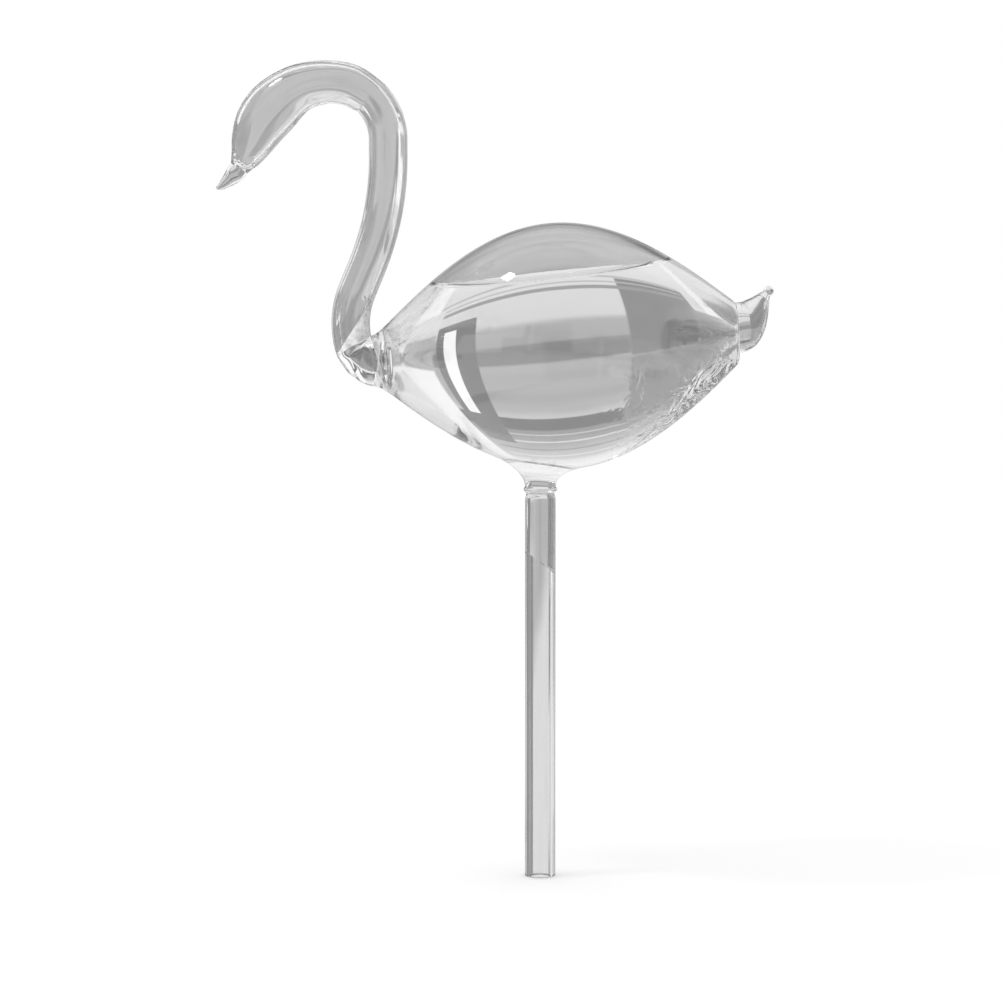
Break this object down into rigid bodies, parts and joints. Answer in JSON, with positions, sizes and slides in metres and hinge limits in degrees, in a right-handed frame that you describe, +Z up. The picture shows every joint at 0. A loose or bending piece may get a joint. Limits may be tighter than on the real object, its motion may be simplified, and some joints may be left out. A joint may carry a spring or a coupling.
{
  "type": "watering globe",
  "caption": "Clear blown-glass swan with a hollow lemon-shaped body that holds water and a straight open stem that stands in plant soil and lets the water out.",
  "frame": {"origin": "centre of the stem's open bottom end, where the water comes out", "axes": "+Z up along the stem's axis, -X towards the head, +X towards the tail, the swan lies in the XZ plane and is symmetric about it"},
  "size_m": [0.1456, 0.0644, 0.2139],
  "materials": {
    "globe_glass": "clear thin blown glass, polished",
    "tube_glass": "clear drawn glass tube, polished",
    "solid_glass": "clear fused solid glass, polished",
    "water": "still clear water"
  },
  "bodies": {
    "root": {"stem_tube": "tube_glass", "stem_joint": "solid_glass", "stem_collar": "globe_glass", "body_bulb": "globe_glass", "breast_tip": "solid_glass", "neck_root": "solid_glass", "neck_seal": "solid_glass", "neck_tube": "tube_glass", "head": "tube_glass", "beak": "solid_glass", "tail": "tube_glass", "tail_bead": "solid_glass"}
  },
  "joints": []
}
